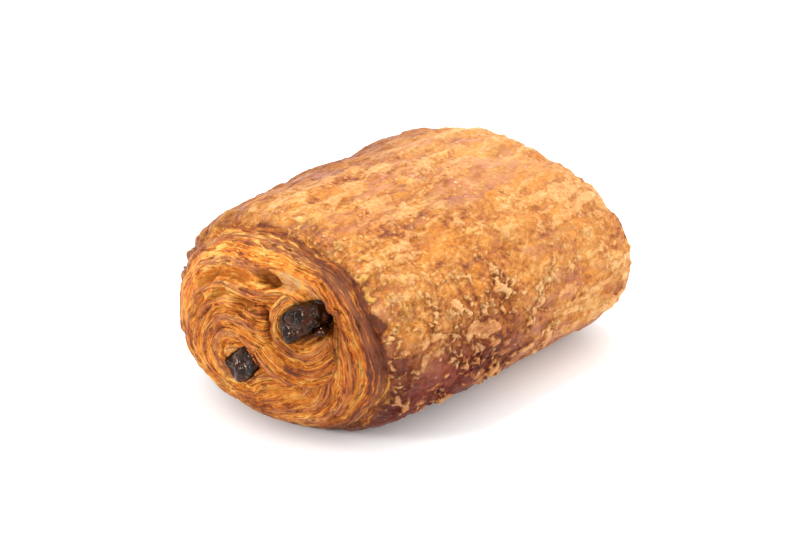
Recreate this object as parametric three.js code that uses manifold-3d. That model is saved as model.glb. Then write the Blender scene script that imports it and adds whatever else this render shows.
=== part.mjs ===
// Pain au chocolat: one rolled laminated dough with two chocolate batons running through it.
// Millimetres, +Z up. The roll's axis lies along X, and the end at -X shows the open spiral.
import * as THREE from 'three';
import { mergeVertices } from 'three/addons/utils/BufferGeometryUtils.js';
import Module from 'manifold-3d';

// The loaf
const loafLength = 91;
const loafWidth = 68;
const loafHeight = 42.5;
const waistHeight = 17.9;      // height of the widest line
const bellyDepth = 20;         // the lower half would reach this far down without the floor
const widthTaper = 0.108;      // the far end is wider than the middle by this share
const heightTaper = -0.122;    // and lower by this share
const nearEndPower = 5.7;      // higher means a flatter end with a tighter edge
const farEndPower = 11.6;
const sectionPower = 2.05;     // 2 is an ellipse
const centreShift = 0.15;      // moves the loaf so that the whole lies centred, baton tips included

// The mesh of the loaf
const segmentsAround = 80;
const ringsAlong = 60;
const nearRingShare = 0.39;    // share of the rings that lie on the near end
const farRingShare = 0.36;
const rimFraction = 0.9;       // where the skin ends, as a fraction of the section's radius

// The spiral of the dough on both ends: arcs over the lower baton that run on under the upper one
const spiralSquash = 0.88;     // the spiral is wider than high
const arcY = 2.4;              // middle of the arcs over the lower baton
const arcZ = 17;
const wrapRadius = 6.9;        // the sheet that closes round the upper baton
const innerOval = { y: -11, z: 25, wide: 9.4, high: 10.2, power: 2.6 };
const rimPlace = 23.5;         // layers between the lower baton and the rim, in mm
const foldPitch = 6.6;
const foldDepth = 1.1;
const creviceDepth = 1;        // along the edge of the inner turns
const creviceWidth = 1.7;
const edgeBlend = 2.4;         // the folds fade out this far from that edge and from the line
const skinStep = 0.8;          // the cut layers lie this far below the skin at the rim

// Hollows and lips on the near end: centre, radii, tilt and depth, where a lip has a negative depth
const endFeatures = [
  { y: -2.7, z: 35, along: 3.2, across: 1.8, tilt: 4, depth: 2.7 },
  { y: -7.8, z: 35.2, along: 3.2, across: 1.6, tilt: 14, depth: 1 },
  { y: 5.5, z: 33.6, along: 4.6, across: 1.7, tilt: -10, depth: 1.4 },
  { y: 12.6, z: 31, along: 3.6, across: 1.8, tilt: -42, depth: 1.7 },
  { y: 9.6, z: 28.6, along: 3.2, across: 1.6, tilt: -40, depth: 1.2 },
  { y: 15.6, z: 23.6, along: 3.6, across: 1.6, tilt: -68, depth: 1.3 },
  { y: 1.4, z: 29.3, along: 2.4, across: 1.6, tilt: 0, depth: 1.3 },
  { y: -4.7, z: 26.8, along: 3.6, across: 1.6, tilt: 76, depth: 1.4 },
  { y: -7.8, z: 21.4, along: 2.8, across: 1.6, tilt: 38, depth: 0.9 },
  { y: -9.6, z: 12.2, along: 5.2, across: 1.5, tilt: 4, depth: 1.1 },
  { y: -18.6, z: 31.2, along: 3.4, across: 1.7, tilt: 52, depth: -1.2 },
  { y: -17, z: 29.6, along: 2.6, across: 1.5, tilt: 50, depth: 1.3 },
  { y: -2.8, z: 11.2, along: 1.8, across: 1.3, tilt: -30, depth: -0.8 },
];

// The skin
const lumpHeight = 0.5;
const lumpSize = 5.2;
const ridgeHeight = 0.3;       // long ridges along the roll
const ridgePitch = 9.5;
const wrinkles = [
  { x: 3, y: -4, along: 11, across: 1.5, tilt: -62, depth: 1.1 },
  { x: 30, y: -9, along: 9, across: 1.5, tilt: -35, depth: 0.8 },
  { x: -16, y: 10, along: 10, across: 1.8, tilt: 12, depth: 0.8 },
  { x: 14, y: 14, along: 11, across: 2.2, tilt: -8, depth: 0.6 },
];

// The batons
const socketGap = 0.32;        // keeps the chocolate clear of the dough
const batonPower = 4.2;        // a rounded rectangle
const batonSegments = 20;
const batonRings = 16;
const upperBaton = {
  y: -12.6, z: 28.1, width: 8.6, height: 6.4, tilt: -38, nearX: -45.2, farX: 44.2, slope: -0.028,
};
const lowerBaton = {
  y: 1.5, z: 16, width: 6.6, height: 7.2, tilt: 42, nearX: -45.9, farX: 45.6, slope: -0.006,
};
const chocolateDrop = { y: -16.9, z: 28.3, along: 1.3, across: 0.9, nearX: -43.6, farX: -39.5 };

const wasm = await Module();
wasm.setup();

// Rises smoothly from 0 to 1 as value goes from one limit to the other, whichever is larger.
function smoothStep(from, to, value) {
  const share = THREE.MathUtils.clamp((value - from) / (to - from), 0, 1);
  return share * share * (3 - 2 * share);
}

function signedPower(value, power) {
  return Math.sign(value) * Math.abs(value) ** power;
}

// A unit sphere with its poles on X, whose every vertex goes where place puts it.
function rollGeometry(segments, rings, place) {
  const sphere = new THREE.SphereGeometry(1, segments, rings).rotateZ(Math.PI / 2);
  sphere.deleteAttribute('normal');
  sphere.deleteAttribute('uv');
  const geometry = mergeVertices(sphere, 1e-4);
  const position = geometry.attributes.position;
  const point = new THREE.Vector3();
  for (let i = 0; i < position.count; i++) {
    point.fromBufferAttribute(position, i);
    const share = Math.acos(THREE.MathUtils.clamp(-point.x, -1, 1)) / Math.PI;
    const angle = Math.atan2(point.z, point.y);
    place(share, angle, point);
    position.setXYZ(i, point.x, point.y, point.z);
  }
  geometry.computeVertexNormals();
  return geometry;
}

// Where a ring lies along the loaf, from -1 to 1. Rings crowd on the ends, where the folds show.
function ringStation(share) {
  const rimRest = 1 - rimFraction ** 2;
  const nearRim = -(rimRest ** (1 / nearEndPower));
  const farRim = rimRest ** (1 / farEndPower);
  if (share < nearRingShare) {
    const fraction = rimFraction * (share / nearRingShare);
    return -((1 - fraction ** 2) ** (1 / nearEndPower));
  }
  if (share > 1 - farRingShare) {
    const fraction = rimFraction * ((1 - share) / farRingShare);
    return (1 - fraction ** 2) ** (1 / farEndPower);
  }
  const along = (share - nearRingShare) / (1 - nearRingShare - farRingShare);
  return THREE.MathUtils.lerp(nearRim, farRim, along);
}

// Half width, rise above the waist and fall below it at a station of the loaf.
function loafSection(station) {
  const power = station < 0 ? nearEndPower : farEndPower;
  const fraction = Math.sqrt(Math.max(0, 1 - Math.abs(station) ** power));
  return {
    fraction,
    halfWidth: (loafWidth / 2) * fraction * (1 + widthTaper * station),
    rise: (loafHeight - waistHeight) * fraction * (1 + heightTaper * station),
    fall: bellyDepth * fraction,
  };
}

function loafPoint(station, angle, point) {
  const section = loafSection(station);
  const across = signedPower(Math.cos(angle), 2 / sectionPower);
  const upward = signedPower(Math.sin(angle), 2 / sectionPower);
  const reach = upward > 0 ? section.rise : section.fall;
  point.set((loafLength / 2) * station, section.halfWidth * across, waistHeight + reach * upward);
  return section.fraction;
}

// Place through the layers at a point of the end, distance to the edge of the inner turns, and
// distance to the line through the middles of the arcs and of the upper baton.
function layerPlace(y, z, depthInside) {
  const spanY = (upperBaton.y - arcY) * spiralSquash;
  const spanZ = upperBaton.z - arcZ;
  const span = Math.hypot(spanY, spanZ);
  const fromArcY = (y - arcY) * spiralSquash;
  const fromArcZ = z - arcZ;
  const fromUpper = Math.hypot((y - upperBaton.y) * spiralSquash, z - upperBaton.z);
  const beyondLine = (spanZ * fromArcY - spanY * fromArcZ) / span;
  const line = Math.abs(beyondLine);
  let edge = fromUpper - wrapRadius;
  if (beyondLine < 0) {
    const { power } = innerOval;
    const across = Math.abs((y - innerOval.y) / innerOval.wide) ** power;
    const upward = Math.abs((z - innerOval.z) / innerOval.high) ** power;
    edge = Math.min(edge, ((across + upward) ** (1 / power) - 1) * innerOval.high);
  }
  if (edge < 0) return { place: span - fromUpper, edge, line };
  const inside = smoothStep(2, 13, depthInside) * smoothStep(-12, 2, y);
  const arcs = Math.hypot(fromArcY, fromArcZ);
  return { place: THREE.MathUtils.lerp(rimPlace - depthInside, arcs, inside), edge, line };
}

// A bump of height 1 with an oval foot.
function ovalBump(dx, dy, feature) {
  const turn = THREE.MathUtils.degToRad(feature.tilt);
  const along = (dx * Math.cos(turn) + dy * Math.sin(turn)) / feature.along;
  const across = (dy * Math.cos(turn) - dx * Math.sin(turn)) / feature.across;
  return Math.exp(-(along ** 2 + across ** 2));
}

// Folds of the dough on an end: ridges with sharp valleys between the layers.
function endRelief(point, fraction, isNear) {
  const { y, z } = point;
  const radius = Math.hypot(y, z - waistHeight) / Math.max(fraction, 0.05);
  const depthInside = (rimFraction - fraction) * radius;
  const { place, edge, line } = layerPlace(y, z, depthInside);
  const sway = 0.5 * Math.sin(y / 5.3 + 1.1) * Math.sin(z / 4.7 + 0.4);
  const folds = Math.abs(Math.sin((Math.PI * (place + sway)) / foldPitch)) - 0.6;
  const awayFromLine = smoothStep(0, edgeBlend, line);
  const away = smoothStep(0, edgeBlend, Math.abs(edge)) * awayFromLine;
  let relief = foldDepth * folds * smoothStep(0.08, 0.35, fraction) * away;
  relief -= skinStep * smoothStep(5, 0, depthInside);
  const dy = y - upperBaton.y;
  const dz = z - upperBaton.z;
  const openSide = smoothStep(0.7, -0.4, (dz - dy) / (1 + Math.hypot(dy, dz)));
  relief -= creviceDepth * openSide * awayFromLine * Math.exp(-((edge / creviceWidth) ** 2));
  if (isNear) {
    for (const feature of endFeatures) {
      relief -= feature.depth * ovalBump(y - feature.y, z - feature.z, feature);
    }
  }
  return relief;
}

// Lumps, long ridges and wrinkles of the baked skin.
function skinRelief(point) {
  const { x, y, z } = point;
  const lumps = Math.sin(x / lumpSize + 1.7 * Math.sin(y / 7.3 + 2.1))
    * Math.sin(y / 5.9 + 1.4 * Math.sin(z / 6.7 + 0.7) + 0.8)
    * Math.cos(z / 6.1 + 0.9 * Math.sin(x / 9.7));
  const around = Math.atan2(y, z - waistHeight) * (loafWidth / 2);
  const ridges = Math.sin((2 * Math.PI * (around + 1.6 * Math.sin(x / 8.5))) / ridgePitch)
    * Math.sin(x / 13 + around / 17);
  let relief = lumpHeight * lumps + ridgeHeight * ridges;
  if (z > waistHeight + 8) {
    for (const wrinkle of wrinkles) {
      relief -= wrinkle.depth * ovalBump(x - wrinkle.x, y - wrinkle.y, wrinkle);
    }
  }
  return relief;
}

// The loaf with its relief, lying flat on z = 0, before the batons' sockets are cut.
function loafGeometry() {
  const fractions = [];
  const stations = [];
  const geometry = rollGeometry(segmentsAround, ringsAlong, (share, angle, point) => {
    const station = ringStation(share);
    stations.push(station);
    fractions.push(loafPoint(station, angle, point));
  });
  const { position, normal } = geometry.attributes;
  const point = new THREE.Vector3();
  const outward = new THREE.Vector3();
  for (let i = 0; i < position.count; i++) {
    point.fromBufferAttribute(position, i);
    outward.fromBufferAttribute(normal, i);
    const onSkin = smoothStep(rimFraction - 0.03, rimFraction + 0.02, fractions[i]);
    const onEnd = endRelief(point, fractions[i], stations[i] < 0) * (1 - onSkin);
    const onSide = skinRelief(point) * onSkin;
    const resting = smoothStep(0.2, 4, point.z);
    point.addScaledVector(outward, (onEnd + onSide) * resting);
    position.setXYZ(i, point.x, point.y, Math.max(0, point.z));
  }
  return geometry;
}

// A bar of chocolate along the roll, softened by the oven; grown makes the socket that it fits.
function batonGeometry(baton, grown) {
  const middle = (baton.nearX + baton.farX) / 2;
  const reach = (baton.farX - baton.nearX) / 2 + grown;
  const turn = THREE.MathUtils.degToRad(baton.tilt);
  return rollGeometry(batonSegments, batonRings, (share, angle, point) => {
    const towardTip = Math.abs(2 * share - 1);
    const capShare = 0.75;
    const onCap = Math.max(0, (towardTip - capShare) / (1 - capShare));
    const fraction = Math.cos((onCap * Math.PI) / 2) ** 0.6;
    const station = Math.sign(share - 0.5) * Math.min(1, towardTip / capShare);
    const tipDome = 1.6 * Math.sin((onCap * Math.PI) / 2) * Math.sign(station);
    const along = middle + station * (reach - 1.6) + tipDome;
    const swell = 1 + 0.05 * Math.sin(along / 3.1 + baton.y) + 0.04 * Math.sin(3 * angle + along / 5);
    const wide = (baton.width / 2) * swell + grown;
    const high = (baton.height / 2) * swell + grown;
    const across = wide * fraction * signedPower(Math.cos(angle), 2 / batonPower);
    const upward = high * fraction * signedPower(Math.sin(angle), 2 / batonPower);
    point.set(
      along,
      baton.y + across * Math.cos(turn) - upward * Math.sin(turn),
      baton.z + across * Math.sin(turn) + upward * Math.cos(turn) + baton.slope * (along - middle),
    );
  });
}

// The melted drop that hangs at the upper baton's side, sunk into it.
function dropGeometry(grown) {
  const middle = (chocolateDrop.nearX + chocolateDrop.farX) / 2;
  const reach = (chocolateDrop.farX - chocolateDrop.nearX) / 2;
  return rollGeometry(14, 10, (share, angle, point) => {
    const bend = share * Math.PI;
    point.set(
      middle - (reach + grown) * Math.cos(bend),
      chocolateDrop.y + (chocolateDrop.along + grown) * Math.sin(bend) * Math.cos(angle),
      chocolateDrop.z + (chocolateDrop.across + grown) * Math.sin(bend) * Math.sin(angle),
    );
  });
}

function solidOf(geometry) {
  const bare = geometry.clone();
  bare.deleteAttribute('normal');
  return new wasm.Manifold(new wasm.Mesh({
    numProp: 3,
    vertProperties: new Float32Array(bare.attributes.position.array),
    triVerts: new Uint32Array(bare.index.array),
  }));
}

function geometryOf(solid) {
  const mesh = solid.getMesh();
  const geometry = new THREE.BufferGeometry();
  geometry.setAttribute('position', new THREE.BufferAttribute(mesh.vertProperties, 3));
  geometry.setIndex(new THREE.BufferAttribute(mesh.triVerts, 1));
  geometry.computeVertexNormals();
  return geometry;
}

const upperSolid = solidOf(batonGeometry(upperBaton, 0)).add(solidOf(dropGeometry(0)));
const upperSocket = solidOf(batonGeometry(upperBaton, socketGap)).add(solidOf(dropGeometry(socketGap)));
const lowerSolid = solidOf(batonGeometry(lowerBaton, 0));
const lowerSocket = solidOf(batonGeometry(lowerBaton, socketGap));
const doughSolid = solidOf(loafGeometry()).subtract(upperSocket).subtract(lowerSocket);

const crust = new THREE.MeshStandardMaterial({ color: 0xc9782f, roughness: 0.62, metalness: 0 });
const chocolate = new THREE.MeshStandardMaterial({ color: 0x2b1712, roughness: 0.35, metalness: 0 });

function namedMesh(name, solid, material) {
  const mesh = new THREE.Mesh(geometryOf(solid), material);
  mesh.name = name;
  return mesh;
}

const pastry = new THREE.Group();
pastry.add(
  namedMesh('dough', doughSolid, crust),
  namedMesh('baton_upper', upperSolid, chocolate),
  namedMesh('baton_lower', lowerSolid, chocolate),
);
pastry.position.x = centreShift;

export default pastry;
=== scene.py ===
# Pain au chocolat: rolled and baked dough, two chocolate batons, soft studio light
import math
import bpy
import bmesh
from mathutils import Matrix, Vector, noise


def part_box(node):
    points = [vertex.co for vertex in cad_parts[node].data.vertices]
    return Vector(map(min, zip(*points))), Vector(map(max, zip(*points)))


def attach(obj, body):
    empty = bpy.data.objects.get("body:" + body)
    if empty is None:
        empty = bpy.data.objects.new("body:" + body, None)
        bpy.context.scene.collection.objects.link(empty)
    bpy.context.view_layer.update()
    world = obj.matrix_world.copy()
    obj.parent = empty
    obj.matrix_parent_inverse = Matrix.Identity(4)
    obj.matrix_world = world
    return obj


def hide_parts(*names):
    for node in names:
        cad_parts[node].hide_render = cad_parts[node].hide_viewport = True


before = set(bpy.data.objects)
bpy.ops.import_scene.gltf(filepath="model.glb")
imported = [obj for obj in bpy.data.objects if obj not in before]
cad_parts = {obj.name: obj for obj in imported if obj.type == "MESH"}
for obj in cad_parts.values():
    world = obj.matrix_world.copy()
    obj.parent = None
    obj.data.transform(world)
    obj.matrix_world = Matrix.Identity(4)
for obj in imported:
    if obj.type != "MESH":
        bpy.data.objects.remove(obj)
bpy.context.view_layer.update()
mm = 0.001
bodyName = "root"


# Small tools

def smoothStep(low, high, value):
    share = min(1.0, max(0.0, (value - low) / (high - low)))
    return share * share * (3 - 2 * share)


def blend(low, high, share):
    return low + (high - low) * share


def signedPower(value, power):
    return math.copysign(abs(value) ** power, value)


def hump(value, middle, width):                      # 1 at the middle, fading out over the width
    return math.exp(-((value - middle) / width) ** 2)


def grain(x, y, z, size, octaves=1, shift=0.0):      # smooth noise around 0, features about size mm
    at = Vector((x / size + shift, y / size + 2.3 * shift, z / size - shift))
    if octaves == 1:
        return noise.noise(at)
    return noise.fractal(at, 0.9, 2.1, octaves)


def ovalBump(dx, dy, spot):                          # 1 in the middle of a tilted oval
    turn = math.radians(spot["tilt"])
    along = (dx * math.cos(turn) + dy * math.sin(turn)) / spot["along"]
    across = (dy * math.cos(turn) - dx * math.sin(turn)) / spot["across"]
    return math.exp(-(along * along + across * across))


def startRoll(around, rings, place):                 # a ball with its poles on X, every vertex placed
    bm = bmesh.new()
    bmesh.ops.create_uvsphere(bm, u_segments=around, v_segments=rings, radius=1)
    for vert in bm.verts:
        share = math.acos(max(-1.0, min(1.0, -vert.co.z))) / math.pi
        angle = math.atan2(vert.co.y, vert.co.x)
        vert.co = place(share, angle)
    bm.normal_update()
    return bm


def finishPiece(bm, name, material, nodes, smooth=True):
    mesh = bpy.data.meshes.new(name)
    for face in bm.faces:
        face.smooth = smooth
    bm.to_mesh(mesh)
    bm.free()
    piece = bpy.data.objects.new(name, mesh)
    bpy.context.scene.collection.objects.link(piece)
    piece.data.materials.append(material)
    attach(piece, bodyName)
    for node in nodes:
        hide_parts(node)
    return piece


# Shader maths: a wrapped socket that adds its own nodes

class Wire:
    def __init__(self, finish, socket):
        self.finish = finish
        self.socket = socket

    def join(self, operation, first, second):
        return self.finish.node("ShaderNodeMath", {"operation": operation}, {0: first, 1: second})

    def __add__(self, other):
        return self.join("ADD", self, other)

    def __radd__(self, other):
        return self.join("ADD", other, self)

    def __sub__(self, other):
        return self.join("SUBTRACT", self, other)

    def __rsub__(self, other):
        return self.join("SUBTRACT", other, self)

    def __mul__(self, other):
        return self.join("MULTIPLY", self, other)

    def __rmul__(self, other):
        return self.join("MULTIPLY", other, self)


class Finish:                                        # the nodes of one material, or of the world
    def __init__(self, owner, shader="Principled BSDF"):
        owner.use_nodes = True
        self.owner = owner
        self.tree = owner.node_tree
        self.shader = self.tree.nodes[shader]

    def plug(self, socket, value):
        if isinstance(value, Wire):
            self.tree.links.new(value.socket, socket)
        else:
            socket.default_value = value

    def node(self, kind, settings=None, inputs=None, output=0):
        made = self.tree.nodes.new(kind)
        for key, value in (settings or {}).items():
            if key == "stops":
                self.setStops(made.color_ramp, value)
            else:
                setattr(made, key, value)
        for key, value in (inputs or {}).items():
            self.plug(made.inputs[key], value)
        return Wire(self, made.outputs[output])

    def wear(self, looks):                           # values or links for the shader's own sockets
        for socket, value in looks.items():
            self.plug(self.shader.inputs[socket], value)

    def setStops(self, ramp, stops):
        while len(ramp.elements) < len(stops):
            ramp.elements.new(0.5)
        for element, (position, colour) in zip(ramp.elements, stops):
            element.position = position
            element.color = (*colour, 1)

    def stored(self, name):                          # a value kept on the mesh's vertices
        return self.node("ShaderNodeAttribute", {"attribute_name": name}, output="Fac")

    def stretched(self, x, y=1.0, z=1.0):            # object place in mm, scaled along each axis
        place = self.node("ShaderNodeTexCoord", output="Object")
        return self.node("ShaderNodeVectorMath", {"operation": "MULTIPLY"},
                         {0: place, 1: (x / mm, y / mm, z / mm)}, output="Vector")

    def part(self, vector, axis):                    # one of the numbers in a vector
        return self.node("ShaderNodeSeparateXYZ", {}, {0: vector}, output=axis)

    def noise(self, vector, scale, detail=2.0, roughness=0.5, distortion=0.0):
        return self.node("ShaderNodeTexNoise", {},
                         {"Vector": vector, "Scale": scale, "Detail": detail,
                          "Roughness": roughness, "Distortion": distortion})

    def lines(self, through, across, height, pitch, shift, run):     # noise in lines along the layers
        vector = self.node("ShaderNodeCombineXYZ", {},
                           {0: through * pitch + shift, 1: across * run, 2: height * run},
                           output="Vector")
        return self.noise(vector, 1.0, 3, 0.6)

    def ridges(self, vector, scale, detail=5.0):     # noise with sharp crests, about 0.3 to 1.3
        return self.node("ShaderNodeTexNoise", {"noise_type": "RIDGED_MULTIFRACTAL"},
                         {"Vector": vector, "Scale": scale, "Detail": detail, "Roughness": 0.55,
                          "Offset": 0.9, "Gain": 2.0})

    def remap(self, value, low, high, start=0.0, end=1.0):
        return self.node("ShaderNodeMapRange", {"interpolation_type": "SMOOTHSTEP"},
                         {"Value": value, "From Min": low, "From Max": high,
                          "To Min": start, "To Max": end})

    def ramp(self, value, stops):
        return self.node("ShaderNodeValToRGB", {"stops": stops}, {"Fac": value})

    def mixColour(self, share, first, second, kind="MIX"):
        first = first if isinstance(first, Wire) else (*first, 1)
        second = second if isinstance(second, Wire) else (*second, 1)
        return self.node("ShaderNodeMix", {"data_type": "RGBA", "blend_type": kind},
                         {0: share, 6: first, 7: second}, output=2)

    def bump(self, height, distance):
        return self.node("ShaderNodeBump", {}, {"Height": height, "Distance": distance, "Strength": 1.0},
                         output="Normal")


# The dough's form, in mm, as long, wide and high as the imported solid

doughLow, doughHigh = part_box("dough")
doughSize = (doughHigh - doughLow) / mm
loaf = {
    "length": 0.997 * doughSize.x,
    "width": 0.936 * doughSize.y,
    "height": 0.97 * doughSize.z,
    "shift": 0.15,                                   # the loaf's centre lies this far along X
    "waist": 17.9,                                   # height of the widest line
    "belly": 20.0,                                   # how far down the lower half would reach
    "farBelly": 21.2,                                # the same toward the far end
    "bellyFrom": -1.0,                               # the belly changes between these stations
    "bellyTo": 0.3,
    "widthTaper": 0.108,
    "heightTaper": -0.122,
    "nearPower": 5.7,
    "farPower": 11.6,
    "sectionPower": 2.05,
    "rim": 0.9,                                      # the skin ends at this share of the section
    "rimWander": 0.6,                                # how far the rim line wanders
    "grooveDepth": 0.3,                              # a groove just inside the rim
    "grooveAt": 0.8,
    "grooveWidth": 0.6,
    "lipHeight": 0.2,                                # and a lip just outside it
    "lipAt": -0.9,
    "lipWidth": 0.8,
    "soleFade": (0.1, 3.0),                          # the relief comes in over these heights
}
loafMesh = {"around": 356, "nearRings": 92, "sideRings": 128, "farRings": 44}


def ringStation(share):                              # where a ring lies along the loaf, -1 to 1
    rings = loafMesh["nearRings"] + loafMesh["sideRings"] + loafMesh["farRings"]
    nearShare = loafMesh["nearRings"] / rings
    farShare = loafMesh["farRings"] / rings
    rimRest = 1 - loaf["rim"] ** 2
    nearRim = -(rimRest ** (1 / loaf["nearPower"]))
    farRim = rimRest ** (1 / loaf["farPower"])
    if share < nearShare:
        fraction = loaf["rim"] * share / nearShare
        return -((1 - fraction ** 2) ** (1 / loaf["nearPower"]))
    if share > 1 - farShare:
        fraction = loaf["rim"] * (1 - share) / farShare
        return (1 - fraction ** 2) ** (1 / loaf["farPower"])
    return blend(nearRim, farRim, (share - nearShare) / (1 - nearShare - farShare))


def loafFraction(station):
    power = loaf["nearPower"] if station < 0 else loaf["farPower"]
    return math.sqrt(max(0.0, 1 - abs(station) ** power))


def rimDistance(point, fraction):                    # how far past the rim, into the end
    section = math.hypot(point.y, point.z - loaf["waist"]) / max(fraction, 0.05)
    return (loaf["rim"] - fraction) * section


def loafPoint(share, angle):
    station = ringStation(share)
    fraction = loafFraction(station)
    halfWidth = loaf["width"] / 2 * fraction * (1 + loaf["widthTaper"] * station)
    rise = (loaf["height"] - loaf["waist"]) * fraction * (1 + loaf["heightTaper"] * station)
    across = signedPower(math.cos(angle), 2 / loaf["sectionPower"])
    upward = signedPower(math.sin(angle), 2 / loaf["sectionPower"])
    bellyShare = smoothStep(loaf["bellyFrom"], loaf["bellyTo"], station)
    belly = blend(loaf["belly"], loaf["farBelly"], bellyShare)
    reach = rise if upward > 0 else belly * fraction
    return Vector((loaf["length"] / 2 * station, halfWidth * across, loaf["waist"] + reach * upward))


# The spiral on the ends: half circles round the two batons, joined into an S

batons = {
    "upper": {"y": -12.6, "z": 28.1, "width": 8.6, "height": 6.4, "tilt": -38,
              "nearX": -45.2, "farX": 44.2, "slope": -0.028, "power": 3.4, "slant": 0.28},
    "lower": {"y": 1.5, "z": 16.0, "width": 6.6, "height": 8.0, "tilt": 42,
              "nearX": -45.6, "farX": 45.6, "slope": -0.006, "power": 3.8, "slant": 0.18},
}
spiral = {
    "squash": 0.88,
    "arcY": 2.4,                                     # the arcs over the lower baton have this middle
    "arcZ": 17.0,
    "wrapRadius": 6.9,                               # the sheet round the upper baton
    "innerY": -11.0,                                 # the oval that closes the right half of the S
    "innerZ": 25.0,
    "innerWide": 9.4,
    "innerHigh": 10.2,
    "innerPower": 2.6,
    "rimPhase": 23.5,
    "swayHeight": 0.5,                               # how far the layers sway and ruffle
    "ruffleHeight": 0.6,
    "foldPitch": 3.3,
    "foldDepth": 1.1,
    "sheetSize": 1.2,                                # thickness of a bundle of layers
    "sheetDepth": 0.55,
    "leafSize": 0.6,                                 # thickness of one layer
    "leafDepth": 0.2,
    "crackSize": 0.9,
    "crackDepth": 0.6,
    "creviceDepth": 1.3,                             # between the two halves of the S
    "creviceAt": 0.2,
    "creviceWidth": 0.75,
    "skinStep": 0.6,                                 # the end lies this far behind the rim
    "batonGroove": 0.9,                              # dent round each baton
    "grooveShare": 1.14,
    "grooveWidth": 0.13,
    "batonPocket": 2.5,                              # depth of the dough behind a baton's tip
    "crumbShow": 0.8,                                # open crumb between the folds at the left
}
endSpots = [                                         # hollows, and lips with a negative depth
    {"y": -2.7, "z": 35.0, "along": 3.0, "across": 1.3, "tilt": 4, "depth": 3.4, "crumb": 1.0},
    {"y": -7.4, "z": 35.3, "along": 3.8, "across": 1.8, "tilt": 12, "depth": 0.8, "crumb": 2.0},
    {"y": 5.5, "z": 33.6, "along": 4.6, "across": 1.4, "tilt": -10, "depth": 1.6, "crumb": 1.0},
    {"y": 12.6, "z": 31.0, "along": 3.6, "across": 1.4, "tilt": -42, "depth": 2.1, "crumb": 1.0},
    {"y": 9.6, "z": 28.6, "along": 3.2, "across": 0.9, "tilt": -40, "depth": 1.8, "crumb": 1.0},
    {"y": 15.6, "z": 23.6, "along": 3.6, "across": 1.1, "tilt": -68, "depth": 1.8, "crumb": 1.0},
    {"y": 1.4, "z": 29.3, "along": 2.3, "across": 0.9, "tilt": 0, "depth": 1.9, "crumb": 0.4},
    {"y": -4.7, "z": 26.8, "along": 3.6, "across": 0.8, "tilt": 76, "depth": 2.3, "crumb": 0.2},
    {"y": -7.8, "z": 21.4, "along": 2.8, "across": 1.0, "tilt": 38, "depth": 1.1, "crumb": 0.9},
    {"y": -9.6, "z": 12.2, "along": 5.6, "across": 2.2, "tilt": 8, "depth": 1.0, "crumb": 0.9},
    {"y": -18.6, "z": 31.2, "along": 3.4, "across": 1.1, "tilt": 52, "depth": -1.5, "crumb": 0.0},
    {"y": -17.0, "z": 29.6, "along": 2.4, "across": 0.9, "tilt": 50, "depth": 1.9, "crumb": 0.0},
    {"y": -2.8, "z": 11.2, "along": 1.8, "across": 1.3, "tilt": -30, "depth": -0.8, "crumb": 0.0},
]


layerSpan = math.hypot((batons["upper"]["y"] - spiral["arcY"]) * spiral["squash"],
                       batons["upper"]["z"] - spiral["arcZ"])


def upperRight(y, z):                                # from -1.4 below left of the upper baton to 1.4
    dy, dz = y - batons["upper"]["y"], z - batons["upper"]["z"]
    return (dz - dy) / (1 + math.hypot(dy, dz))


# Place through the layers, distance to the crevice, and share of the folds that stays at its seams
def layerPlace(y, z, depthInside):
    up = batons["upper"]
    squash = spiral["squash"]
    spanY, spanZ = (up["y"] - spiral["arcY"]) * squash, up["z"] - spiral["arcZ"]
    dy, dz = (y - spiral["arcY"]) * squash, z - spiral["arcZ"]
    fromUp = math.hypot((y - up["y"]) * squash, z - up["z"])
    edge = fromUp - spiral["wrapRadius"] * blend(1.0, 0.7, smoothStep(-0.2, 0.9, upperRight(y, z)))
    beyondLine = (spanZ * dy - spanY * dz) / layerSpan
    atRight = smoothStep(0.0, 0.5, upperRight(y, z))
    if beyondLine < 0:
        power = spiral["innerPower"]
        oval = (abs((y - spiral["innerY"]) / spiral["innerWide"]) ** power
                + abs((z - spiral["innerZ"]) / spiral["innerHigh"]) ** power) ** (1 / power)
        ovalEdge = (oval - 1) * spiral["innerHigh"]
        edge = min(edge, blend(ovalEdge, max(ovalEdge, beyondLine), atRight))
    inside = smoothStep(2, 13, depthInside) * smoothStep(-12, 2, y)
    outer = blend(spiral["rimPhase"] - depthInside, math.hypot(dy, dz), inside)
    turnsOut = smoothStep(-3.0 * atRight - 0.01, 0.0, edge)
    stays = blend(smoothStep(-0.2, 1.2, abs(edge)), 1.0, atRight)
    return blend(layerSpan - fromUp, outer, turnsOut), edge, stays


def batonShare(y, z, baton):                         # 1 on the baton's outline, less inside
    turn = math.radians(baton["tilt"])
    dy, dz = y - baton["y"], z - baton["z"]
    across = abs(dy * math.cos(turn) + dz * math.sin(turn)) / (baton["width"] / 2)
    upward = abs(dz * math.cos(turn) - dy * math.sin(turn)) / (baton["height"] / 2)
    return (across ** baton["power"] + upward ** baton["power"]) ** (1 / baton["power"])


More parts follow.
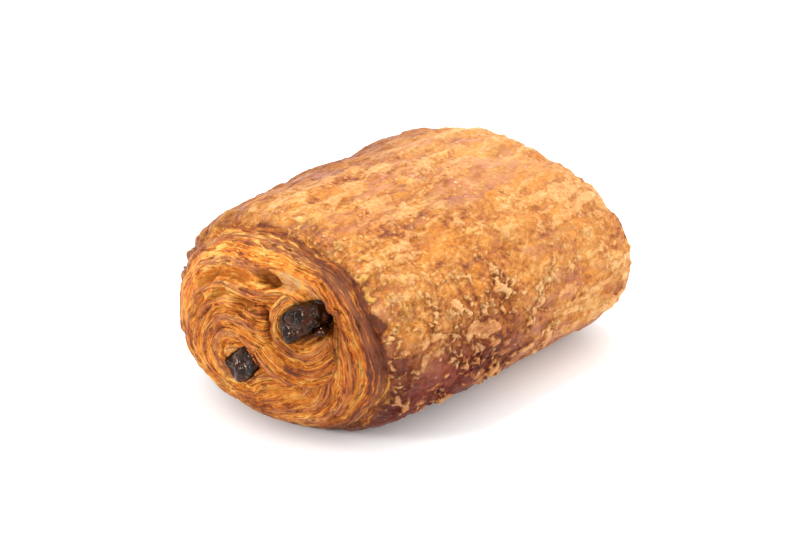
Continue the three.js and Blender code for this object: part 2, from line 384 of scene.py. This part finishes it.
def endRelief(y, z, depthInside, isNear):            # height in mm, layer phase, crumb and crest
    place, edge, stays = layerPlace(y, z, depthInside)
    sway = spiral["swayHeight"] * math.sin(y / 5.3 + 1.1) * math.sin(z / 4.7 + 0.4)
    ruffle = spiral["ruffleHeight"] * grain(0, y, z, 9, 1, 7.7) + 0.07 * grain(0, y, z, 1.8, 2, 2.9)
    phase = place + sway + ruffle
    crest = abs(math.sin(math.pi * phase / spiral["foldPitch"])) - 0.6
    strength = 0.35 + 1.3 * abs(grain(0, y, z, 9, 2, 4.4))
    strength *= blend(0.6, 1.0, smoothStep(1, 7, depthInside))
    height = spiral["foldDepth"] * strength * crest * stays
    sheets = abs(noise.noise(Vector((phase / spiral["sheetSize"], y / 9, z / 9))))
    leaves = noise.noise(Vector((phase / spiral["leafSize"], y / 7 + 5, z / 7)))
    crack = noise.noise(Vector((phase / spiral["crackSize"], y / 3.2 + 9, z / 3.2)))
    crack = smoothStep(-0.25, -0.5, crack)
    opening = 0.45 + 1.0 * abs(grain(0, y, z, 7, 2, 1.3))
    leafy = spiral["sheetDepth"] * opening * (smoothStep(0, 0.35, sheets) - 0.6)
    leafy += spiral["leafDepth"] * leaves - spiral["crackDepth"] * crack
    height -= spiral["skinStep"] * smoothStep(5, 0, depthInside)
    crumb = spiral["crumbShow"] * smoothStep(3, 20, y) * smoothStep(8, 15, z)
    crumb *= smoothStep(0.1, -0.15, crest + 0.8 * grain(0, y, z, 5, 2, 3.3))
    ragged = 0.5 * ruffle + 0.5 * grain(0, y, z, 2.2, 2, 6.6)
    if isNear:
        for spot in endSpots:
            share = ovalBump(y - spot["y"] + ragged, z - spot["z"] - ragged, spot)
            share = smoothStep(0.12, 0.75, share)
            height -= spot["depth"] * share
            crumb = max(crumb, spot["crumb"] * share)
    height += leafy * stays * (1 - 0.75 * min(1.0, crumb))
    broken = (0.35 + 1.2 * abs(grain(0, y, z, 6, 1, 9.4))) * smoothStep(0.4, -0.5, upperRight(y, z))
    height -= spiral["creviceDepth"] * broken * hump(edge, spiral["creviceAt"], spiral["creviceWidth"])
    for baton in batons.values():
        share = batonShare(y, z, baton)
        height -= spiral["batonGroove"] * hump(share, spiral["grooveShare"], spiral["grooveWidth"])
        height -= spiral["batonPocket"] * smoothStep(1.1, 0.7, share)
    return height, phase, crumb, crest


# The baked skin: lumps and wrinkles of the solid, with flaking terraces and blisters on them

skin = {
    "lumpHeight": 0.5,
    "lumpSize": 5.2,
    "ridgeHeight": 0.3,
    "ridgePitch": 9.5,
    "flakeSize": 3.4,                                # how large the raised flakes are
    "flakeHeight": 1.05,
    "patchSize": 7.5,                                # flakes come in patches of this size
    "leafHeight": 0.32,                              # lower, longer flakes on top
    "crackleHeight": 0.16,
    "crackleSize": 1.6,
    "dentDepth": 0.45,
    "dentSize": 4.2,
    "blisterHeight": 0.25,
    "blisterPitch": 2.6,
    "rimFlakesAt": -33.0,                            # a belt of flakes beside the near rim
    "rimFlakesWidth": 4.5,
}
wrinkles = [
    {"x": 3.0, "y": -4.0, "along": 11.0, "across": 1.3, "tilt": -62, "depth": 1.2},
    {"x": 30.0, "y": -9.0, "along": 9.0, "across": 1.3, "tilt": -35, "depth": 0.8},
    {"x": -16.0, "y": 10.0, "along": 10.0, "across": 1.6, "tilt": 12, "depth": 0.8},
    {"x": 14.0, "y": 14.0, "along": 11.0, "across": 2.0, "tilt": -8, "depth": 0.6},
]
creases = [                                          # y is measured round the roll from its top
    {"x": -5.0, "y": 0.5, "along": 8.0, "across": 0.8, "tilt": -6, "depth": 0.8},
    {"x": 16.7, "y": -32.0, "along": 4.0, "across": 0.7, "tilt": -12, "depth": 0.7},
    {"x": -18.0, "y": -13.0, "along": 8.0, "across": 1.0, "tilt": 8, "depth": 0.5},
    {"x": -4.0, "y": -41.0, "along": 6.0, "across": 1.1, "tilt": 80, "depth": 0.6},
    {"x": 4.0, "y": -38.0, "along": 6.0, "across": 1.1, "tilt": 100, "depth": 0.6},
]


def skinForm(x, y, z):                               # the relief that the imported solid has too
    lumps = (math.sin(x / skin["lumpSize"] + 1.7 * math.sin(y / 7.3 + 2.1))
             * math.sin(y / 5.9 + 1.4 * math.sin(z / 6.7 + 0.7) + 0.8)
             * math.cos(z / 6.1 + 0.9 * math.sin(x / 9.7)))
    around = math.atan2(y, z - loaf["waist"]) * loaf["width"] / 2
    ridges = (math.sin(2 * math.pi * (around + 1.6 * math.sin(x / 8.5)) / skin["ridgePitch"])
              * math.sin(x / 13 + around / 17))
    height = skin["lumpHeight"] * lumps + skin["ridgeHeight"] * ridges
    if z > loaf["waist"] + 8:
        for wrinkle in wrinkles:
            height -= wrinkle["depth"] * ovalBump(x - wrinkle["x"], y - wrinkle["y"], wrinkle)
    return height


def skinRelief(point):                               # height in mm, raised flakes and flakiness
    x, y, z = point
    fromTop = math.atan2(y, z - loaf["waist"])
    around = fromTop * loaf["width"] / 2
    flaky = smoothStep(0.75, 1.35, abs(fromTop)) * smoothStep(2.75, 2.3, abs(fromTop))
    flaky *= 0.3 + 0.7 * smoothStep(24, -4, x)
    nearRim = hump(x, skin["rimFlakesAt"], skin["rimFlakesWidth"])
    nearRim *= blend(0.35, 0.85, smoothStep(0.9, 0.0, fromTop))
    flaky = max(flaky, nearRim)
    flaky *= 0.15 + 0.85 * smoothStep(-0.3, 0.15, grain(x, y, z, skin["patchSize"], 2, 5.2))
    warpX, warpY = 1.5 * grain(x, y, z, 3.7, 2, 2.7), 1.5 * grain(x, y, z, 4.1, 2, 8.1)
    curls = grain(x + warpX, y + warpY, z - warpX, skin["flakeSize"], 3, 4.2)
    curls = 0.8 - abs(curls) / 0.24 + 0.9 * grain(x, y, z, 2.5, 2, 6.9)
    leaves = 0.1 + 2.1 * grain(0.35 * x + 0.5 * warpX, y + 0.4 * warpY, z, 2.4, 3, 7.3)
    leaves += 1.5 * grain(0.5 * x, y, z, 11, 2, 3.1)
    flake = blend(leaves, curls, min(1.0, 1.6 * flaky)) + 0.3 * flaky
    flake += 0.4 * grain(x, y, z, 1.2, 2, 3.8) - 1.3 * smoothStep(9, 3, z)
    raised = smoothStep(-0.1, 1.4, flake)
    height = skinForm(x, y, z)
    for crease in creases:
        height -= crease["depth"] * ovalBump(x - crease["x"], around - crease["y"], crease)
    height += blend(skin["leafHeight"], skin["flakeHeight"], flaky) * (raised - 0.25)
    height += skin["crackleHeight"] * grain(0.7 * x, y, z, skin["crackleSize"], 2, 8.8)
    height -= skin["dentDepth"] * smoothStep(0.05, 0.4, grain(0.6 * x, y, z, skin["dentSize"], 2, 1.4))
    near = noise.voronoi(Vector((x, y, z)) / skin["blisterPitch"])[0][0]
    blister = smoothStep(0.34, 0.1, near) * smoothStep(0.05, 0.3, grain(x, y, z, 11, 2, 6.1))
    height += skin["blisterHeight"] * blister
    return height, flake, flaky


def makeDough(material):
    bm = startRoll(loafMesh["around"], loafMesh["nearRings"] + loafMesh["sideRings"]
                   + loafMesh["farRings"], loafPoint)
    stored = {}
    for name in ("inward", "phase", "crumb", "crest", "hollow", "flake", "flaky"):
        stored[name] = bm.verts.layers.float.new(name)
    for vert in bm.verts:
        point = vert.co.copy()
        station = point.x / (loaf["length"] / 2)
        fraction = loafFraction(max(-1.0, min(1.0, station)))
        depthInside = rimDistance(point, fraction)
        inward = depthInside + loaf["rimWander"] * grain(0, point.y, point.z, 4, 3, 2.2)
        onSkin = smoothStep(0.5, -0.3, inward)
        endHeight = phase = crumb = crest = 0.0
        skinHeight = flake = flaky = 0.0
        if inward > -2:
            endHeight, phase, crumb, crest = endRelief(point.y, point.z, depthInside, station < 0)
        if inward < 2:
            skinHeight, flake, flaky = skinRelief(point)
        height = blend(endHeight, skinHeight, onSkin)
        height -= loaf["grooveDepth"] * hump(inward, loaf["grooveAt"], loaf["grooveWidth"])
        height += loaf["lipHeight"] * hump(inward, loaf["lipAt"], loaf["lipWidth"])
        height *= smoothStep(*loaf["soleFade"], point.z)
        vert.co = point + vert.normal * height
        vert.co.z = max(0.0, vert.co.z)
        vert[stored["inward"]] = inward
        vert[stored["phase"]] = phase
        vert[stored["crumb"]] = crumb
        vert[stored["crest"]] = crest
        vert[stored["hollow"]] = -endHeight
        vert[stored["flake"]] = flake
        vert[stored["flaky"]] = flaky
    for vert in bm.verts:
        vert.co = (vert.co + Vector((loaf["shift"], 0, 0))) * mm
    return finishPiece(bm, "pastryDough", material, ["dough"])


# Chocolate batons

batonMesh = {"around": 72, "rings": 120, "tipShare": 0.6}          # the rest of the rings lie on the tips
batonRelief = {
    "tipLength": 1.6,                                # how long the rounded tips are
    "tipPower": 0.6,
    "swell": 0.05,                                   # the thickness varies by this much along it
    "twist": 0.04,
    "dentHeight": 0.5,
    "dentSize": 3.4,
    "creaseDepth": 0.2,
    "creaseSize": 3.0,
}
drop = {"y": -16.9, "z": 28.3, "along": 1.3, "across": 0.9, "nearX": -43.6, "farX": -39.5,
        "around": 40, "rings": 30}


def batonPoint(baton, share, angle):
    middle = (baton["nearX"] + baton["farX"]) / 2
    reach = (baton["farX"] - baton["nearX"]) / 2
    turn = math.radians(baton["tilt"])
    towardTip = abs(2 * share - 1)
    tipShare = batonMesh["tipShare"]
    tipLength = batonRelief["tipLength"]
    onTip = max(0.0, (towardTip - tipShare) / (1 - tipShare))
    fraction = math.cos(onTip * math.pi / 2) ** batonRelief["tipPower"] if onTip < 1 else 0.0
    sign = 1 if share > 0.5 else -1
    station = sign * min(1.0, towardTip / tipShare)
    x = middle + station * (reach - tipLength) + tipLength * math.sin(onTip * math.pi / 2) * sign
    swell = 1 + batonRelief["swell"] * math.sin(x / 3.1 + baton["y"])
    swell += batonRelief["twist"] * math.sin(3 * angle + x / 5)
    across = baton["width"] / 2 * swell * fraction * signedPower(math.cos(angle), 2 / baton["power"])
    upward = baton["height"] / 2 * swell * fraction * signedPower(math.sin(angle), 2 / baton["power"])
    rise = across * math.sin(turn) + upward * math.cos(turn)
    x += baton["slant"] * rise * smoothStep(-0.75, -1.0, station)    # the shown tip faces a little upward
    return Vector((x, baton["y"] + across * math.cos(turn) - upward * math.sin(turn),
                   baton["z"] + rise + baton["slope"] * (x - middle)))


def roughenChocolate(bm):                            # dents and creases of the baked chocolate
    for vert in bm.verts:
        x, y, z = vert.co
        dent = batonRelief["dentHeight"] * grain(x, y, z, batonRelief["dentSize"], 1, 1.7)
        crease = smoothStep(0.12, 0.0, abs(grain(x, y, z, batonRelief["creaseSize"], 1, 5.5)))
        vert.co += vert.normal * (dent - batonRelief["creaseDepth"] * crease)


def dropPoint(share, angle):
    middle = (drop["nearX"] + drop["farX"]) / 2
    bend = share * math.pi
    return Vector((middle - (drop["farX"] - drop["nearX"]) / 2 * math.cos(bend),
                   drop["y"] + drop["along"] * math.sin(bend) * math.cos(angle),
                   drop["z"] + drop["across"] * math.sin(bend) * math.sin(angle)))


def makeBaton(side, material):
    baton = batons[side]
    bm = startRoll(batonMesh["around"], batonMesh["rings"],
                   lambda share, angle: batonPoint(baton, share, angle))
    roughenChocolate(bm)
    if side == "upper":
        extra = startRoll(drop["around"], drop["rings"], dropPoint)
        mesh = bpy.data.meshes.new("dropShape")
        extra.to_mesh(mesh)
        extra.free()
        bm.from_mesh(mesh)
        bpy.data.meshes.remove(mesh)
    bmesh.ops.translate(bm, verts=bm.verts, vec=Vector((loaf["shift"], 0, 0)))
    bmesh.ops.scale(bm, verts=bm.verts, vec=Vector((mm, mm, mm)))
    return finishPiece(bm, side + "Baton", material, ["baton_" + side])


# Finishes

crustLook = {
    "skinStops": [(0.22, (0.20, 0.050, 0.018)), (0.38, (0.42, 0.130, 0.027)), (0.50, (0.55, 0.200, 0.030)),
                  (0.61, (0.62, 0.270, 0.053)), (0.78, (0.75, 0.43, 0.15))],
    "flakeStops": [(0.30, (0.50, 0.130, 0.022)), (0.47, (0.67, 0.255, 0.045)), (0.72, (0.86, 0.50, 0.22))],
    "layerStops": [(0.26, (0.10, 0.021, 0.005)), (0.40, (0.33, 0.074, 0.009)), (0.51, (0.55, 0.150, 0.012)),
                   (0.62, (0.68, 0.248, 0.025)), (0.76, (0.79, 0.44, 0.11))],
    "farTopSheen": (0.82, 0.46, 0.22),
    "golden": (0.80, 0.42, 0.075),
    "flakeFootShade": (0.58, 0.40, 0.32),                  # painted shade round the feet of the flakes
    "amber": (0.70, 0.245, 0.022),
    "rosy": (0.42, 0.138, 0.070),
    "speck": (0.76, 0.50, 0.20),
    "lowBakeAndShadeTint": (0.35, 0.106, 0.064),
    "leftToneAndShadeTint": (0.57, 0.45, 0.37),
    "allTint": (0.85, 0.84, 0.85),
    "rightTint": (0.76, 0.66, 0.60),
    "purple": (0.31, 0.10, 0.040),
    "rimTone": (0.11, 0.034, 0.018),
    "crumbLight": (0.72, 0.32, 0.046),
    "crumbDeep": (0.57, 0.170, 0.014),
    "crumbPale": (0.58, 0.34, 0.13),
    "recessShade": (0.15, 0.030, 0.003),
    "soleBakeAndShade": (0.20, 0.062, 0.020),
    "amberShare": 0.5,                               # how much of a tint is mixed in
    "rosyShare": 0.5,
    "farTopSheenShare": 0.14,
    "goldenShare": 0.9,
    "flakeFootShadeShare": 0.75,
    "speckShare": 0.6,
    "nearRimShare": 0.6,
    "purpleShare": 0.8,
    "crumbShare": 0.82,
    "recessShadeShare": 0.75,
    "soleBakeAndShadeShare": 0.6,
    "roughness": 0.58,
    "glazeSmoothing": 0.22,                          # the rosy glaze is smoother and shinier
    "coat": 0.04,
    "glazeCoat": 0.16,
    "coatRoughness": 0.3,
    "specular": 0.16,
    "subsurface": 0.22,
    "subsurfaceRadius": (1.0, 0.4, 0.1),
    "subsurfaceDepth": 0.8,
    "bumpDepth": 1.0,
}
crustPatterns = {                                    # scale per mm, detail, roughness and distortion
    "marble": (0.15, 8, 0.8, 0.25),
    "fine": (0.9, 6, 0.72),
    "rosy": (0.085, 8, 0.75, 0.4),
    "amber": (0.17, 6, 0.7),
    "golden": (0.3, 3, 0.6),
    "clusters": (0.13, 3, 0.6),
    "wander": (0.22, 2),
    "zones": (0.11, 3, 0.6),
    "crumb": (0.45, 4, 0.6),
    "crispScale": 0.42,
    "dotScale": 0.75,
}
layerLines = {                                       # pitch through the layers, shift, run along them
    "strands": (2.7, 0, 0.13),
    "threads": (6.0, 3, 0.5),
    "bundles": (0.9, 7, 0.06),
    "cracks": (2.6, 21, 0.4),
}
crustZones = {                                       # place in mm where a zone begins and is full
    "low": (30, 13),
    "lowAlong": (16, -14),
    "farOff": (-10, 35),
    "leftSide": (3, 22),
    "leftFades": (22, 34),
    "farTop": (24, 40),
    "goldenAlong": (-20, -30),
    "goldenTop": (20, 32),
    "rightward": (12, -14),
    "farRight": (-8, -20),
    "lipAlong": (0, -20),
    "soleBakeAndShade": (8.0, 1.0),
}


class CrustFields:                                   # what the skin and the ends both read
    def __init__(self, finish):
        even = finish.stretched(1)
        self.even = even
        self.streaked = finish.stretched(0.45)
        self.along = finish.part(even, "X")
        self.across = finish.part(even, "Y")
        self.height = finish.part(even, "Z")
        self.marble = finish.noise(self.streaked, *crustPatterns["marble"])
        self.fine = finish.noise(even, *crustPatterns["fine"])
        self.crisp = finish.ridges(finish.stretched(0.6), crustPatterns["crispScale"]) - 0.85
        # low grows toward the floor; the skin's darker, redder underside read from it is partly baked
        # colour and partly painted shade
        self.low = finish.remap(self.height, *crustZones["low"])
        self.low = self.low * finish.remap(self.along, *crustZones["lowAlong"], 0.05, 1.0)
        self.rightward = finish.remap(self.across, *crustZones["rightward"])
        self.inward = finish.stored("inward")


# Skin: soft amber and rosy brown marbling, darker low down (partly baked colour, partly painted shade), a
# paler far top (painted sheen), under pale flakes ringed with painted shade, and specks
def skinLook(finish, fields):                        # colour, height, shiny glaze and raised flakes
    look = crustLook
    along, across, height = fields.along, fields.across, fields.height
    marble, fine, crisp, low = fields.marble, fields.fine, fields.crisp, fields.low
    flaky = finish.stored("flaky")
    farOff = finish.remap(along, *crustZones["farOff"])
    leftSide = (finish.remap(across, *crustZones["leftSide"])
                * finish.remap(across, *crustZones["leftFades"], 1.0, 0.5))
    rosy = finish.noise(fields.streaked, *crustPatterns["rosy"]) + low * 0.06 - farOff * 0.02
    rosy = finish.remap(rosy, 0.50, 0.60)
    smooth = rosy * (1 - flaky)                      # glazed patches without flakes
    marbleTone = 0.5 + (marble - 0.5) * (1.9 - farOff * 0.3) + (fine - 0.5) * (1.3 - smooth * 0.5)
    # darker low down: partly baked colour, partly painted shade; lighter far off: painted sheen; darker on
    # the left: partly its own tone, partly painted shade
    marbleTone = marbleTone + crisp * 0.10 + farOff * 0.05 - low * 0.17 - leftSide * 0.07
    glaze = finish.ramp(marbleTone, look["skinStops"])
    amber = finish.remap(finish.noise(fields.streaked, *crustPatterns["amber"]), 0.50, 0.60) * (1 - rosy)
    glaze = finish.mixColour(amber * look["amberShare"], glaze, look["amber"])
    glaze = finish.mixColour(rosy * look["rosyShare"], glaze, look["rosy"])
    # painted sheen: the glaze on the far top is made paler and less saturated
    farTop = farOff * finish.remap(height, *crustZones["farTop"])
    glaze = finish.mixColour(farTop * look["farTopSheenShare"], glaze, look["farTopSheen"])

    # The crown is 0 at a flake's foot and 1 on its crest
    crown = finish.stored("flake") + (fine - 0.5) * 1.6 + crisp * 0.3 - low * 0.12
    raised = finish.remap(crown - smooth * 0.25, 0.0, 0.9)
    paleTone = 0.26 + raised * 0.42 + (fine - 0.5) * 1.0 + (marble - 0.5) * 1.3 - low * 0.06
    pale = finish.ramp(paleTone, look["flakeStops"])
    golden = finish.remap(finish.noise(fields.even, *crustPatterns["golden"]), 0.40, 0.52)
    golden = finish.remap(along, *crustZones["goldenAlong"]) * golden
    golden = golden * finish.remap(height, *crustZones["goldenTop"])
    pale = finish.mixColour(golden * look["goldenShare"], pale, look["golden"])
    # painted shade: the glaze just outside each flake is darkened where its shadow would fall
    foot = finish.remap(crown, -0.5, -0.05) * (1 - raised) * flaky
    glaze = finish.mixColour(foot * look["flakeFootShadeShare"], glaze, look["flakeFootShade"], "MULTIPLY")
    colour = finish.mixColour(raised * (0.38 + flaky * 0.57), glaze, pale)
    # painted shade, partly baked colour: the skin turns darker and redder low down
    colour = finish.mixColour(low * (1 - raised * 0.6), colour, look["lowBakeAndShadeTint"], "MULTIPLY")

    clusters = finish.remap(finish.noise(fields.even, *crustPatterns["clusters"]), 0.46, 0.58)
    clusters = clusters * (1 - leftSide * 0.6)
    dots = finish.node("ShaderNodeTexVoronoi", {},
                       {"Vector": fields.even, "Scale": crustPatterns["dotScale"]}, output="Distance")
    specks = finish.remap(dots + (fine - 0.5) * 0.5, 0.30, 0.16) * clusters
    colour = finish.mixColour(specks * look["speckShare"], colour, look["speck"])
    # the left side darker and redder: partly its own tone, partly painted shade that offsets the fill light
    colour = finish.mixColour(leftSide, colour, look["leftToneAndShadeTint"], "MULTIPLY")
    relief = raised * (0.12 + flaky * 0.4) + fine * (1.0 - smooth * 0.5) + crisp * 0.4 + marble * 0.4
    return colour, relief + specks * 0.12, rosy * (1 - raised), raised


# Ends: bundles of thin layers with cracks and hollows darkened by painted shade, paler where the crumb is
# open
def endLook(finish, fields):                         # colour and height
    look = crustLook
    across, fine, crisp = fields.across, fields.fine, fields.crisp
    crumb = finish.stored("crumb")
    crest = finish.stored("crest")
    hollow = finish.stored("hollow")
    wander = finish.noise(fields.even, *crustPatterns["wander"])
    through = finish.stored("phase") + (wander - 0.5) * 0.8
    strands, threads, bundles, cracks = (finish.lines(through, across, fields.height, *line)
                                         for line in layerLines.values())
    cracks = finish.remap(cracks, 0.42, 0.34)
    zones = finish.noise(fields.even, *crustPatterns["zones"])
    tone = 0.57 + (strands - 0.5) * 0.85 + (bundles - 0.5) * 0.7 + (threads - 0.5) * 0.7
    tone = tone + (zones - 0.5) * 0.7 + (fine - 0.5) * 0.6 + crisp * 0.05
    # hollows darker and redder: painted shade
    tone = tone - crest * 0.06 - fields.rightward * 0.08 - finish.remap(hollow, 0.3, 2.0) * 0.06
    colour = finish.ramp(tone, look["layerStops"])
    farRight = finish.remap(across, *crustZones["farRight"])
    colour = finish.mixColour(farRight, colour, look["rightTint"], "MULTIPLY")
    nearRim = finish.remap(fields.inward, 2.6, 0.6)
    colour = finish.mixColour(nearRim * look["nearRimShare"], colour, look["rightTint"], "MULTIPLY")
    crestShare = finish.remap(crest, 0.0, 0.36) * finish.remap(bundles, 0.40, 0.52)
    crestShare = crestShare * finish.remap(threads + (strands - 0.5) * 0.6, 0.64, 0.46, 0.25, 1.0)
    colour = finish.mixColour(crestShare * look["purpleShare"], colour, look["purple"])

    # deeper crumb darker: painted shade
    crumbTone = finish.noise(fields.even, *crustPatterns["crumb"]) + (strands - 0.5) * 0.8 - hollow * 0.05
    crumbColour = finish.mixColour(finish.remap(crumbTone, 0.36, 0.62), look["crumbDeep"],
                                   look["crumbLight"])
    cream = finish.remap(crumb + (fine - 0.5) * 2.2 + (zones - 0.5) * 1.6, 1.0, 2.1)
    cream = cream * finish.remap(crumbTone, 0.30, 0.55, 0.3, 1.0)
    crumbColour = finish.mixColour(cream, crumbColour, look["crumbPale"])
    openCrumb = finish.remap(crumb, 0.0, 1.0)
    colour = finish.mixColour(openCrumb * look["crumbShare"], colour, crumbColour)

    # painted shade: deep hollows turn nearly black
    recessShade = finish.remap(hollow, 1.5, 3.0) * finish.remap(crumb, 0.0, 1.0, 1.0, 0.7)
    colour = finish.mixColour(recessShade * look["recessShadeShare"], colour, look["recessShade"])
    band = finish.remap(fields.inward + (bundles - 0.5) * 3.0, 3.4, 1.4)
    band = band * finish.remap(strands + (threads - 0.5) * 0.4, 0.62, 0.52)
    colour = finish.mixColour(band * (0.35 + fields.rightward * 0.35), colour, look["rimTone"])
    # painted shade: the cracks between the layers take the same dark colour
    crackShare = cracks * finish.remap(crumb, 0.3, 1.0, 0.75, 0.15)
    colour = finish.mixColour(crackShare, colour, look["recessShade"])
    return colour, strands * 1.0 + threads * 0.3 + bundles * 0.3 - cracks * 0.35 + fine * 0.5


def makeCrust():
    finish = Finish(bpy.data.materials.new("bakedDough"))
    look = crustLook
    fields = CrustFields(finish)
    skinColour, skinHeight, glazed, raised = skinLook(finish, fields)
    endColour, endHeight = endLook(finish, fields)
    edge = fields.inward + (fields.fine - 0.5) * 1.2
    onSkin = finish.remap(edge, 0.12, -0.12)
    lip = finish.remap(edge + (fields.marble - 0.5) * 6, -2.0, -0.2)
    lip = lip * finish.remap(fields.along, *crustZones["lipAlong"]) * fields.low * fields.rightward
    skinColour = finish.mixColour(lip * (1 - raised * 0.7) * 0.5, skinColour, look["rimTone"])
    colour = finish.mixColour(onSkin, endColour, skinColour)
    # darker towards the floor: partly the baked underside's own colour, partly painted contact shade
    sole = finish.remap(fields.height, *crustZones["soleBakeAndShade"])
    colour = finish.mixColour(sole * look["soleBakeAndShadeShare"], colour, look["soleBakeAndShade"])
    bumpHeight = finish.node("ShaderNodeMix", {"data_type": "FLOAT"},
                             {0: onSkin, 2: endHeight, 3: skinHeight})
    coat = (look["coat"] + glazed * look["glazeCoat"]) * (1 - fields.low * 0.8)
    finish.wear({
        "Base Color": finish.mixColour(1.0, colour, look["allTint"], "MULTIPLY"),
        "Roughness": look["roughness"] - glazed * look["glazeSmoothing"] * onSkin,
        "Coat Weight": coat * onSkin,
        "Coat Roughness": look["coatRoughness"],
        "Normal": finish.bump(bumpHeight, look["bumpDepth"] * mm),
        "Specular IOR Level": look["specular"],
        "Subsurface Weight": look["subsurface"],
        "Subsurface Radius": look["subsurfaceRadius"],
        "Subsurface Scale": look["subsurfaceDepth"] * mm,
    })
    return finish.owner


chocolateLook = {
    "dark": (0.004, 0.0012, 0.0005),
    "light": (0.030, 0.0064, 0.0018),
    "clouds": (0.5, 4, 0.6),                         # scale per mm, detail, roughness and distortion
    "waves": (0.36, 0, 0.4, 0.5),
    "ripples": (0.9, 0, 0.5, 0.8),
    "rippleShare": 0.2,
    "glossy": 0.06,                                  # lowest and highest roughness
    "dull": 0.16,
    "bumpDepth": 1.5,
    "specular": 0.18,
    "specularTint": (1, 0.78, 0.66, 1),
}


def makeChocolate():
    finish = Finish(bpy.data.materials.new("bakedChocolate"))
    look = chocolateLook
    even = finish.stretched(1)
    cloudy = finish.noise(even, *look["clouds"])
    waves = finish.noise(even, *look["waves"]) + finish.noise(even, *look["ripples"]) * look["rippleShare"]
    finish.wear({
        "Base Color": finish.mixColour(finish.remap(cloudy, 0.42, 0.68), look["dark"], look["light"]),
        "Roughness": finish.remap(cloudy, 0.35, 0.65, look["glossy"], look["dull"]),
        "Normal": finish.bump(waves, look["bumpDepth"] * mm),
        "Specular IOR Level": look["specular"],
        "Specular Tint": look["specularTint"],
    })
    return finish.owner


def makePlain(name, colour, roughness):
    finish = Finish(bpy.data.materials.new(name))
    finish.wear({"Base Color": (*colour, 1), "Roughness": roughness})
    return finish.owner


crust = makeCrust()
chocolate = makeChocolate()
dough = makeDough(crust)
print("dough", len(dough.data.vertices), "vertices")
for batonSide in batons:
    made = makeBaton(batonSide, chocolate)
    print(made.name, len(made.data.vertices), "vertices")


# Stage: a pale floor that runs into the background, soft light from above and from the side

studio = {
    "floorColour": (0.93, 0.93, 0.93),
    "floorRoughness": 0.9,
    "floorSide": 6.0,
    "horizonStrength": 1.25,
    "zenithStrength": 1.75,
    "keyPower": 10.4,
    "keySide": 0.26,
    "keyPlace": (0.2, 0.1, 1.1),
    "fillPower": 8.0,
    "fillSide": 0.2,
    "fillPlace": (-1.0, 0.5, 0.45),
    "sidePower": 6.4,
    "sideSide": 1.0,
    "sidePlace": (0.5, -0.95, 0.35),
    "lightAim": (0, 0, 0.02),
}


def makeStage():
    bm = bmesh.new()
    bmesh.ops.create_grid(bm, x_segments=1, y_segments=1, size=studio["floorSide"] / 2)
    mesh = bpy.data.meshes.new("studioFloor")
    bm.to_mesh(mesh)
    bm.free()
    floor = bpy.data.objects.new("studioFloor", mesh)
    bpy.context.scene.collection.objects.link(floor)
    white = makePlain("studioWhite", studio["floorColour"], studio["floorRoughness"])
    floor.data.materials.append(white)


def makeRoom():                                      # pale all round, brighter overhead
    finish = Finish(bpy.data.worlds.new("softRoom"), "Background")
    direction = finish.node("ShaderNodeTexCoord", output="Generated")
    strength = finish.node("ShaderNodeMapRange", {},
                           {"Value": finish.part(direction, "Z"), "To Min": studio["horizonStrength"],
                            "To Max": studio["zenithStrength"]})
    finish.wear({"Color": (1, 1, 1, 1), "Strength": strength})
    bpy.context.scene.world = finish.owner


def addSoftbox(name, place, side, power):
    light = bpy.data.lights.new(name, "AREA")
    light.shape = "DISK"
    light.size = side
    light.energy = power
    lamp = bpy.data.objects.new(name, light)
    lamp.location = place
    toward = Vector(studio["lightAim"]) - Vector(place)
    lamp.rotation_euler = toward.to_track_quat("-Z", "Y").to_euler()
    bpy.context.scene.collection.objects.link(lamp)


makeStage()
makeRoom()
addSoftbox("keyLight", studio["keyPlace"], studio["keySide"], studio["keyPower"])
addSoftbox("fillLight", studio["fillPlace"], studio["fillSide"], studio["fillPower"])
addSoftbox("sideLight", studio["sidePlace"], studio["sideSide"], studio["sidePower"])
print("floor, room and", len(bpy.data.lights), "lights placed")


# Camera at the photographed angle

view = {
    "azimuth": -50.8,
    "elevation": 25.5,
    "distance": 0.46,
    "lens": 99.05,
    "sensor": 36,
    "clipStart": 0.01,
    "aimHeight": 0.022,
    "aimRight": 0.00178,                             # the loaf lies a little left of the middle
    "aimUp": -0.00057,
}


def makeCamera():
    azimuth, elevation = math.radians(view["azimuth"]), math.radians(view["elevation"])
    back = Vector((math.sin(azimuth) * math.cos(elevation), -math.cos(azimuth) * math.cos(elevation),
                   math.sin(elevation)))
    right = Vector((math.cos(azimuth), math.sin(azimuth), 0))
    aim = Vector((loaf["shift"] * mm, 0, view["aimHeight"]))
    aim += right * view["aimRight"] + back.cross(right) * view["aimUp"]
    data = bpy.data.cameras.new("camera")
    data.lens = view["lens"]
    data.sensor_width = view["sensor"]
    data.clip_start = view["clipStart"]
    camera = bpy.data.objects.new("camera", data)
    camera.location = aim + back * view["distance"]
    camera.rotation_euler = back.to_track_quat("Z", "Y").to_euler()
    bpy.context.scene.collection.objects.link(camera)
    bpy.context.scene.camera = camera


makeCamera()
bpy.context.scene.view_settings.view_transform = "Standard"
print("camera placed")
